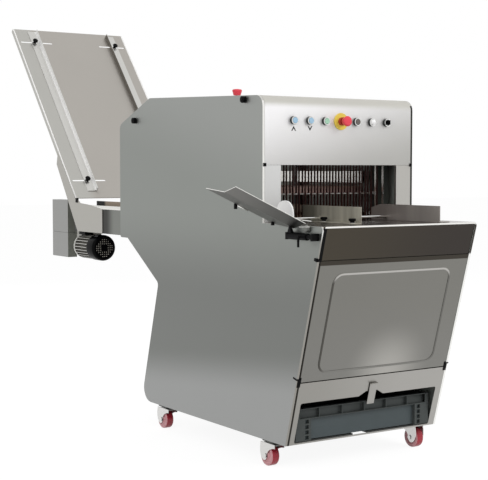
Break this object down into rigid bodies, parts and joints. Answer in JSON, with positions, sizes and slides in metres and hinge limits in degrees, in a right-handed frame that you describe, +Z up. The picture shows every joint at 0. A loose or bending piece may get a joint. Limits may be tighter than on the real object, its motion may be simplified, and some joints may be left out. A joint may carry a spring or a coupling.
{
  "type": "bread slicer",
  "caption": "Floor-standing bread slicer on castors: stainless cabinet with reciprocating blade frames, sloping infeed chute with belt, outfeed table, drop-down door and crumb crate.",
  "frame": {"origin": "on the floor, at the middle of the cabinet width, under the front face of the hood", "axes": "+X to the right as seen from the front, +Y to the back, towards the chute, +Z up"},
  "size_m": [0.9752, 2.663, 1.7481],
  "materials": {
    "satin_steel": "satin stainless steel",
    "panel_steel": "matt grained stainless steel",
    "dark_steel": "grained stainless steel seen in shade",
    "frame_paint": "grey structural paint",
    "bright_steel": "bright plated steel",
    "blade_steel": "oiled blade steel",
    "zinc_steel": "zinc plated steel",
    "black_plastic": "moulded black",
    "crate_plastic": "moulded grey",
    "white_plastic": "white sheet plastic",
    "guide_plastic": "machined guide plastic",
    "wheel_plastic": "red polyurethane",
    "red_plastic": "gloss red",
    "blue_plastic": "gloss blue",
    "green_plastic": "gloss green",
    "yellow_plastic": "signal yellow",
    "lamp_plastic": "milky white",
    "belt_rubber": "woven belt face",
    "drive_rubber": "black belt rubber",
    "roller_plastic": "plastic sleeve roller",
    "motor_alu": "die cast aluminium",
    "motor_iron": "painted grey iron"
  },
  "bodies": {
    "cabinet": {"left_side_panel": "panel_steel", "right_side_panel": "panel_steel", "hood_cover": "satin_steel", "window_plate": "satin_steel", "rear_cover": "panel_steel", "outfeed_table": "satin_steel", "apron": "dark_steel", "door_hinges": "black_plastic", "lower_front_panel": "satin_steel", "base_frame": "frame_paint", "upright_frames": "frame_paint", "control_bezels": "bright_steel", "stop_ring": "yellow_plastic", "side_knobs": "black_plastic", "scoop_bracket": "black_plastic", "loaf_stop": "white_plastic", "guide_rod": "bright_steel", "conveyor_frame": "satin_steel", "conveyor_belt": "belt_rubber", "gearmotor": "motor_alu", "fan_cover": "black_plastic", "drive_box": "panel_steel", "chute_plate": "satin_steel", "chute_brackets": "panel_steel", "blade_guides": "guide_plastic", "shaft_bearings": "motor_iron", "main_motor": "motor_iron", "drive_belt": "drive_rubber"},
    "door": {"front_door": "satin_steel"},
    "crate": {"crumb_crate": "crate_plastic", "crate_handle": "satin_steel"},
    "hold_down": {"hold_down": "satin_steel"},
    "fork_fl": {"castor_fork_fl": "zinc_steel"},
    "wheel_fl": {"castor_wheel_fl": "wheel_plastic"},
    "fork_fr": {"castor_fork_fr": "zinc_steel"},
    "wheel_fr": {"castor_wheel_fr": "wheel_plastic"},
    "fork_rl": {"castor_fork_rl": "zinc_steel"},
    "wheel_rl": {"castor_wheel_rl": "wheel_plastic"},
    "fork_rr": {"castor_fork_rr": "zinc_steel"},
    "wheel_rr": {"castor_wheel_rr": "wheel_plastic"},
    "up_button": {"up_button": "blue_plastic"},
    "down_button": {"down_button": "blue_plastic"},
    "start_button": {"start_button": "green_plastic"},
    "emergency_stop": {"emergency_stop": "red_plastic"},
    "stop_button": {"stop_button": "black_plastic"},
    "lamp_button": {"lamp_button": "lamp_plastic"},
    "selector_knob": {"selector_knob": "black_plastic"},
    "top_stop_button": {"top_stop_button": "red_plastic"},
    "scoop": {"scoop": "panel_steel"},
    "clamp_lever": {"clamp_lever": "black_plastic"},
    "left_table_guide": {"left_table_guide": "satin_steel"},
    "right_table_guide": {"right_table_guide": "satin_steel"},
    "left_chute_guide": {"left_chute_guide": "satin_steel"},
    "right_chute_guide": {"right_chute_guide": "satin_steel"},
    "drive_roller": {"drive_roller": "roller_plastic"},
    "nose_roller": {"nose_roller": "roller_plastic"},
    "front_blade_frame": {"front_blade_frame": "blade_steel"},
    "rear_blade_frame": {"rear_blade_frame": "blade_steel"},
    "crankshaft": {"crankshaft": "zinc_steel"},
    "motor_pulley": {"motor_pulley": "motor_iron"}
  },
  "joints": [
    {"name": "door_hinge", "type": "hinge", "parent": "cabinet", "child": "door", "pos_m": [0, -0.19842, 0.32995], "axis": [1, 0, 0], "range_deg": [0, 75]},
    {"name": "crate_slide", "type": "slide", "parent": "cabinet", "child": "crate", "axis": [0, -1, 0], "range_m": [0, 0.38]},
    {"name": "swivel_fl", "type": "hinge", "parent": "cabinet", "child": "fork_fl", "pos_m": [-0.308, -0.03, 0.084], "axis": [0, 0, 1], "continuous": true},
    {"name": "roll_fl", "type": "hinge", "parent": "fork_fl", "child": "wheel_fl", "pos_m": [-0.308, -0.002, 0.0375], "axis": [1, 0, 0], "continuous": true},
    {"name": "swivel_fr", "type": "hinge", "parent": "cabinet", "child": "fork_fr", "pos_m": [0.308, -0.03, 0.084], "axis": [0, 0, 1], "continuous": true},
    {"name": "roll_fr", "type": "hinge", "parent": "fork_fr", "child": "wheel_fr", "pos_m": [0.308, -0.058, 0.0375], "axis": [1, 0, 0], "continuous": true},
    {"name": "swivel_rl", "type": "hinge", "parent": "cabinet", "child": "fork_rl", "pos_m": [-0.308, 0.716, 0.084], "axis": [0, 0, 1], "continuous": true},
    {"name": "roll_rl", "type": "hinge", "parent": "fork_rl", "child": "wheel_rl", "pos_m": [-0.308, 0.744, 0.0375], "axis": [1, 0, 0], "continuous": true},
    {"name": "swivel_rr", "type": "hinge", "parent": "cabinet", "child": "fork_rr", "pos_m": [0.308, 0.716, 0.084], "axis": [0, 0, 1], "continuous": true},
    {"name": "roll_rr", "type": "hinge", "parent": "fork_rr", "child": "wheel_rr", "pos_m": [0.308, 0.744, 0.0375], "axis": [1, 0, 0], "continuous": true},
    {"name": "up_button_press", "type": "slide", "parent": "cabinet", "child": "up_button", "axis": [0, 1, 0], "range_m": [0, 0.004], "stiffness_N_per_m": 800, "springref_m": -0.003},
    {"name": "down_button_press", "type": "slide", "parent": "cabinet", "child": "down_button", "axis": [0, 1, 0], "range_m": [0, 0.004], "stiffness_N_per_m": 800, "springref_m": -0.003},
    {"name": "start_button_press", "type": "slide", "parent": "cabinet", "child": "start_button", "axis": [0, 1, 0], "range_m": [0, 0.004], "stiffness_N_per_m": 800, "springref_m": -0.003},
    {"name": "stop_button_press", "type": "slide", "parent": "cabinet", "child": "stop_button", "axis": [0, 1, 0], "range_m": [0, 0.004], "stiffness_N_per_m": 800, "springref_m": -0.003},
    {"name": "lamp_button_press", "type": "slide", "parent": "cabinet", "child": "lamp_button", "axis": [0, 1, 0], "range_m": [0, 0.004], "stiffness_N_per_m": 800, "springref_m": -0.003},
    {"name": "emergency_stop_press", "type": "slide", "parent": "cabinet", "child": "emergency_stop", "axis": [0, 1, 0], "range_m": [0, 0.004], "stiffness_N_per_m": 800, "springref_m": -0.003},
    {"name": "top_stop_press", "type": "slide", "parent": "cabinet", "child": "top_stop_button", "axis": [0, 0.0345, -0.9994], "range_m": [0, 0.004], "stiffness_N_per_m": 800, "springref_m": -0.003},
    {"name": "selector_turn", "type": "hinge", "parent": "cabinet", "child": "selector_knob", "pos_m": [0.21, 0, 1.213], "axis": [0, 1, 0], "range_deg": [-45, 45]},
    {"name": "scoop_hinge", "type": "hinge", "parent": "cabinet", "child": "scoop", "pos_m": [-0.358, -0.195, 0.82], "axis": [0, 1, 0], "range_deg": [-24, 0]},
    {"name": "clamp_turn", "type": "hinge", "parent": "scoop", "child": "clamp_lever", "pos_m": [-0.3783, -0.266, 0.82], "axis": [1, 0, 0], "range_deg": [-40, 40]},
    {"name": "left_table_guide_slide", "type": "slide", "parent": "cabinet", "child": "left_table_guide", "axis": [1, 0, 0], "range_m": [-0.1, 0.05]},
    {"name": "right_table_guide_slide", "type": "slide", "parent": "cabinet", "child": "right_table_guide", "axis": [1, 0, 0], "range_m": [-0.08, 0.018]},
    {"name": "left_chute_guide_slide", "type": "slide", "parent": "cabinet", "child": "left_chute_guide", "axis": [1, 0, 0], "range_m": [-0.065, 0.085]},
    {"name": "right_chute_guide_slide", "type": "slide", "parent": "cabinet", "child": "right_chute_guide", "axis": [1, 0, 0], "range_m": [-0.08, 0.055]},
    {"name": "drive_roller_turn", "type": "hinge", "parent": "cabinet", "child": "drive_roller", "pos_m": [0, 1.54, 0.8327], "axis": [1, 0, 0], "continuous": true},
    {"name": "nose_roller_turn", "type": "hinge", "parent": "cabinet", "child": "nose_roller", "pos_m": [0, 0.2, 0.8327], "axis": [1, 0, 0], "continuous": true},
    {"name": "crank_turn", "type": "hinge", "parent": "cabinet", "child": "crankshaft", "pos_m": [0, 0.184, 0.555], "axis": [0, 1, 0], "range_deg": [-90, 90]},
    {"name": "motor_turn", "type": "hinge", "parent": "cabinet", "child": "motor_pulley", "pos_m": [0, 0.35, 0.325], "axis": [0, 1, 0], "range_deg": [-230, 230]},
    {"name": "front_frame_slide", "type": "slide", "parent": "cabinet", "child": "front_blade_frame", "axis": [0, 0, 1], "range_m": [-0.0121, 0.0121]},
    {"name": "rear_frame_slide", "type": "slide", "parent": "cabinet", "child": "rear_blade_frame", "axis": [0, 0, 1], "range_m": [-0.0121, 0.0121]},
    {"name": "hold_down_slide", "type": "slide", "parent": "cabinet", "child": "hold_down", "axis": [0, 0, 1], "range_m": [-0.03, 0.09]}
  ],
  "couplings": [
    {"joint": "nose_roller_turn", "follows": "drive_roller_turn", "ratio": 1},
    {"joint": "front_frame_slide", "follows": "crank_turn", "m_per_rad": -0.0076394},
    {"joint": "rear_frame_slide", "follows": "crank_turn", "m_per_rad": 0.0076394},
    {"joint": "motor_turn", "follows": "crank_turn", "ratio": 2.5366}
  ]
}
